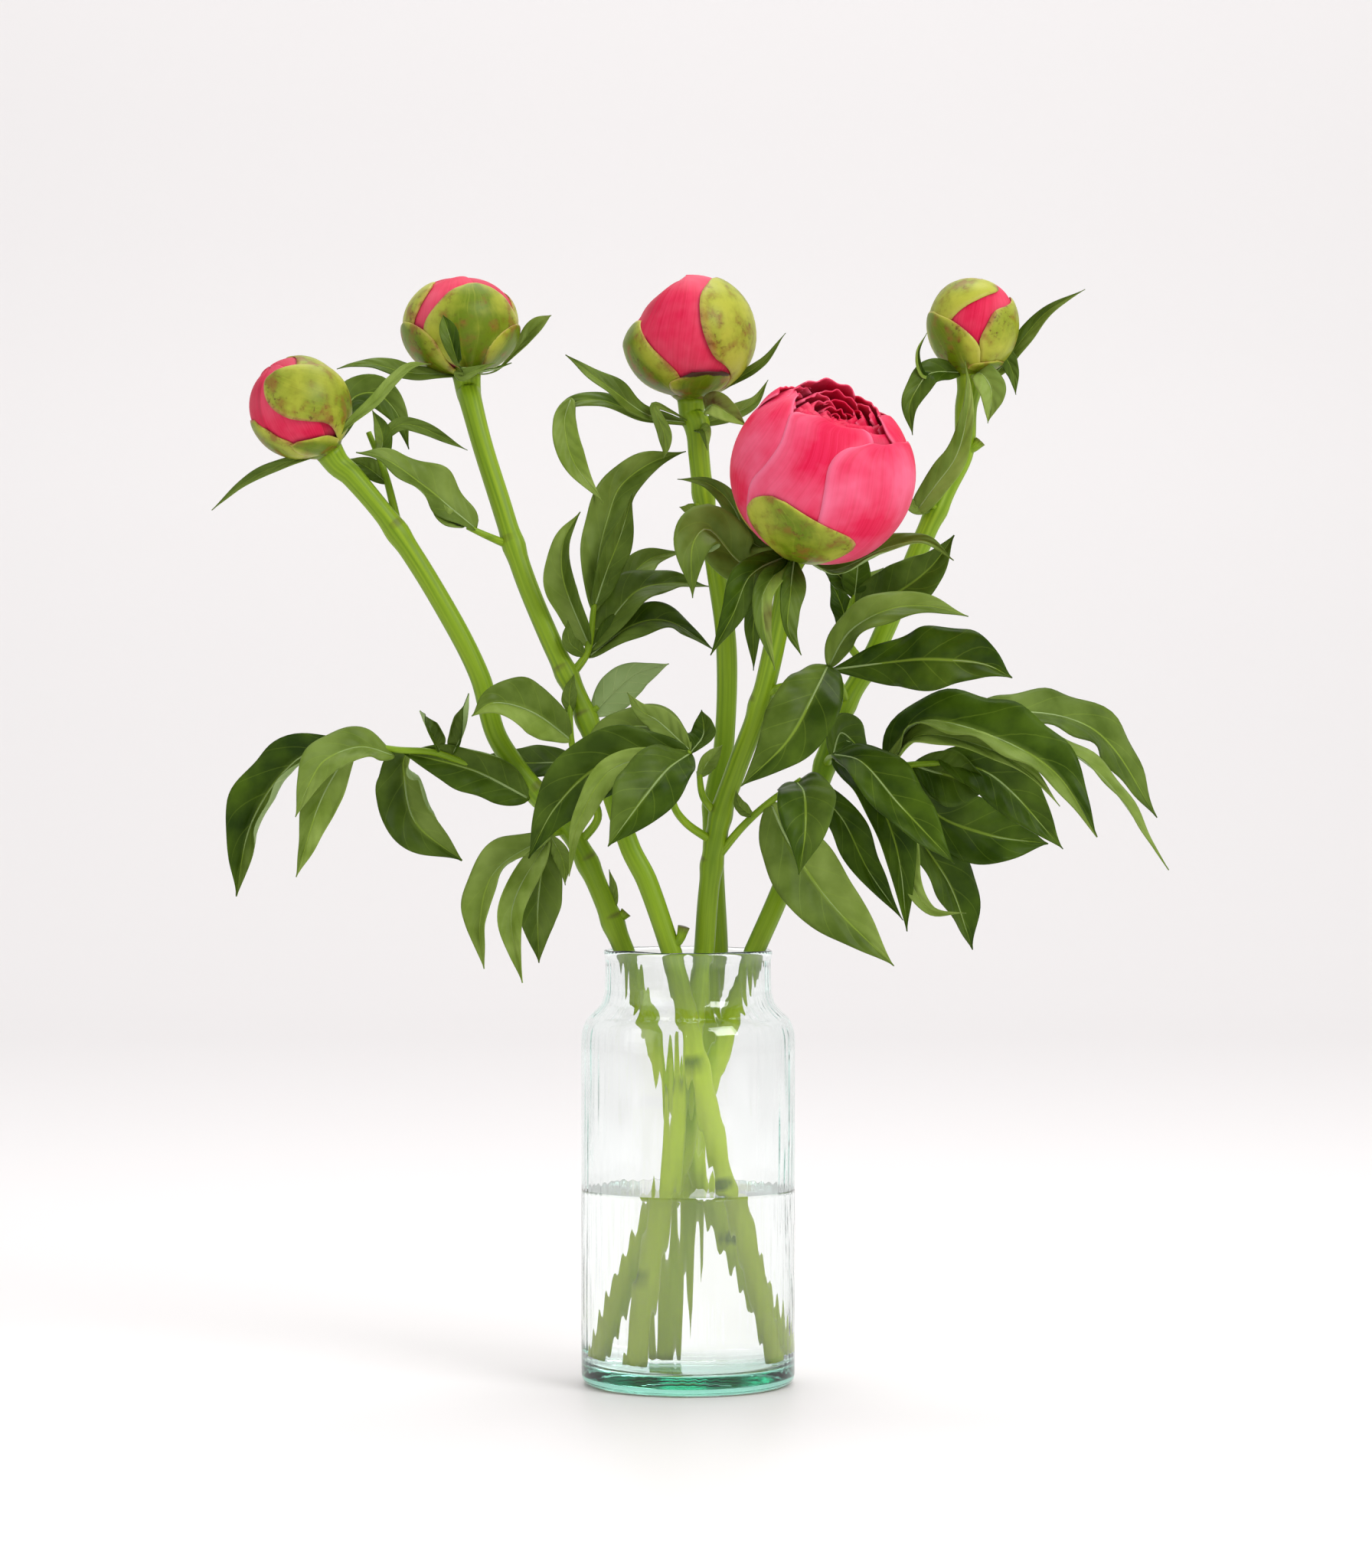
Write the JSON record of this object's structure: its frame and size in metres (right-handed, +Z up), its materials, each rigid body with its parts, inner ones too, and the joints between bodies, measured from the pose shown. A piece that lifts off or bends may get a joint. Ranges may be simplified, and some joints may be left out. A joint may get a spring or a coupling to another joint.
{
  "type": "cut peonies in a vase",
  "caption": "Cut peonies, closed buds and an opening bloom on leafy stems, standing in a clear ribbed glass vase of water.",
  "frame": {"origin": "centre of the vase's flat foot, on its resting plane", "axes": "+Z up along the vase's axis, -Y towards the side that the flowers are arranged for, +X to the right of a viewer on that side"},
  "size_m": [0.4478, 0.1637, 0.5196],
  "materials": {
    "glass": "clear recycled glass, faintly green, moulded with soft inner ribs",
    "water": "clear still water",
    "stem": "smooth fresh green stem with a faint waxy bloom",
    "leaf": "semi-gloss dark green leaf with paler veins and a pale matt underside",
    "bud_petal": "satin crimson pink petal, tightly folded",
    "bloom_petal": "satin coral pink petal with fine lengthwise veins",
    "sepal": "leathery yellow-green sepal with reddish freckles and edges"
  },
  "bodies": {
    "root": {"bloom_petals": "bloom_petal", "bloom_sepals": "sepal", "bud_far_left_petals": "bud_petal", "bud_far_left_sepals": "sepal", "bud_far_right_petals": "bud_petal", "bud_far_right_sepals": "sepal", "bud_left_petals": "bud_petal", "bud_left_sepals": "sepal", "bud_middle_petals": "bud_petal", "bud_middle_sepals": "sepal", "glass_vase": "glass", "leaf_1_hanging": "leaf", "leaf_1_left": "leaf", "leaf_1_right": "leaf", "leaf_1_sprout": "leaf", "leaf_1_under_bud": "leaf", "leaf_2_low": "leaf", "leaf_2_under_bud": "leaf", "leaf_2_upright": "leaf", "leaf_3_left": "leaf", "leaf_3_right": "leaf", "leaf_3_small": "leaf", "leaf_4_collar": "leaf", "leaf_4_sprout": "leaf", "leaf_5_long": "leaf", "leaf_5_middle": "leaf", "leaf_5_right": "leaf", "leaf_5_upper": "leaf", "stem_1": "stem", "stem_2": "stem", "stem_3": "stem", "stem_4": "stem", "stem_5": "stem", "water": "water"}
  },
  "joints": []
}
